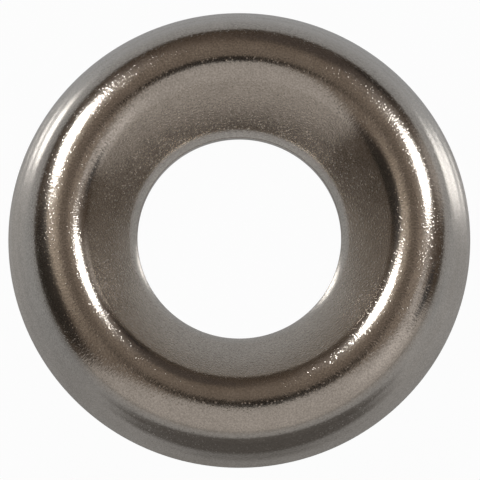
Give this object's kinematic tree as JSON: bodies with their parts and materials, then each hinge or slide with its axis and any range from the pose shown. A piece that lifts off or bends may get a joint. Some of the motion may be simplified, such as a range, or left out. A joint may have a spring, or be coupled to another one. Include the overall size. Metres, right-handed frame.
{
  "type": "finishing cup washer",
  "caption": "Round cup washer of thin plated sheet: a rolled crest, a sloping skirt and a countersunk cup that seats a flat or oval screw head.",
  "frame": {"origin": "on the washer's axis, in the plane that the rim's foot stands on", "axes": "+Z along the axis, from the foot up to the crest and the open cup; -Y towards the viewer of the picture"},
  "size_m": [0.0142, 0.0142, 0.0025],
  "materials": {
    "nickel_plate": "bright nickel plate on drawn sheet, lightly grained"
  },
  "bodies": {
    "root": {"cup_washer": "nickel_plate"}
  },
  "joints": []
}
